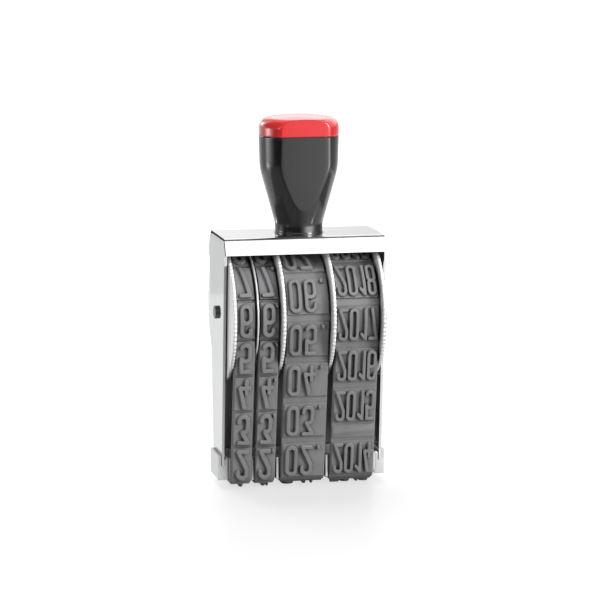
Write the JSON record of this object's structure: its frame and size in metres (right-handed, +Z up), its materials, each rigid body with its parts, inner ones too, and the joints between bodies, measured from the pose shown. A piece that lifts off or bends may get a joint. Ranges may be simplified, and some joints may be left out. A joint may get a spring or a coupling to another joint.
{
  "type": "date stamp",
  "caption": "Hand date stamp with rubber type bands run by toothed thumbwheels over a platen, in a plated sheet yoke under a waisted black handle with a red cap.",
  "frame": {"origin": "middle of the printing plane, below the handle", "axes": "+Z up along the handle, +X along the axle towards the year band, -Y towards the user"},
  "size_m": [0.0818, 0.0664, 0.1781],
  "materials": {
    "grip_plastic": "satin moulded plastic, dark grey to black",
    "cap_plastic": "glossy red moulded plastic",
    "insert_brass": "turned brass",
    "zinc_steel": "zinc-plated steel",
    "plated_sheet": "bright nickel plating on bent sheet",
    "bright_steel": "ground steel rod",
    "plated_disc": "bright nickel plating on stamped steel",
    "cast_metal": "satin die-cast metal",
    "band_rubber": "matt grey moulded rubber",
    "drum_plastic": "black moulded plastic"
  },
  "bodies": {
    "frame": {"handle_grip": "grip_plastic", "handle_cap": "cap_plastic", "handle_insert": "insert_brass", "handle_screw": "zinc_steel", "screw_washer": "zinc_steel", "top_cover": "plated_sheet", "frame_yoke": "plated_sheet", "axle": "bright_steel", "axle_washer_left": "zinc_steel", "axle_washer_right": "zinc_steel", "wave_washer": "zinc_steel", "guide_disc": "plated_disc", "band_day_tens": "band_rubber", "band_day_units": "band_rubber", "band_month": "band_rubber", "band_year": "band_rubber", "platen": "cast_metal", "foot_left": "cast_metal", "foot_right": "cast_metal"},
    "wheel_day_tens": {"drum_day_tens": "drum_plastic", "disc_day_tens": "plated_disc"},
    "wheel_day_units": {"drum_day_units": "drum_plastic", "disc_day_units": "plated_disc"},
    "wheel_month": {"drum_month": "drum_plastic", "disc_month": "plated_disc"},
    "wheel_year": {"drum_year": "drum_plastic", "disc_year": "plated_disc"}
  },
  "joints": [
    {"name": "day_tens_turn", "type": "hinge", "parent": "frame", "child": "wheel_day_tens", "pos_m": [0, 0, 0.0838], "axis": [1, 0, 0], "continuous": true},
    {"name": "day_units_turn", "type": "hinge", "parent": "frame", "child": "wheel_day_units", "pos_m": [0, 0, 0.0838], "axis": [1, 0, 0], "continuous": true},
    {"name": "month_turn", "type": "hinge", "parent": "frame", "child": "wheel_month", "pos_m": [0, 0, 0.0838], "axis": [1, 0, 0], "continuous": true},
    {"name": "year_turn", "type": "hinge", "parent": "frame", "child": "wheel_year", "pos_m": [0, 0, 0.0838], "axis": [1, 0, 0], "continuous": true}
  ]
}
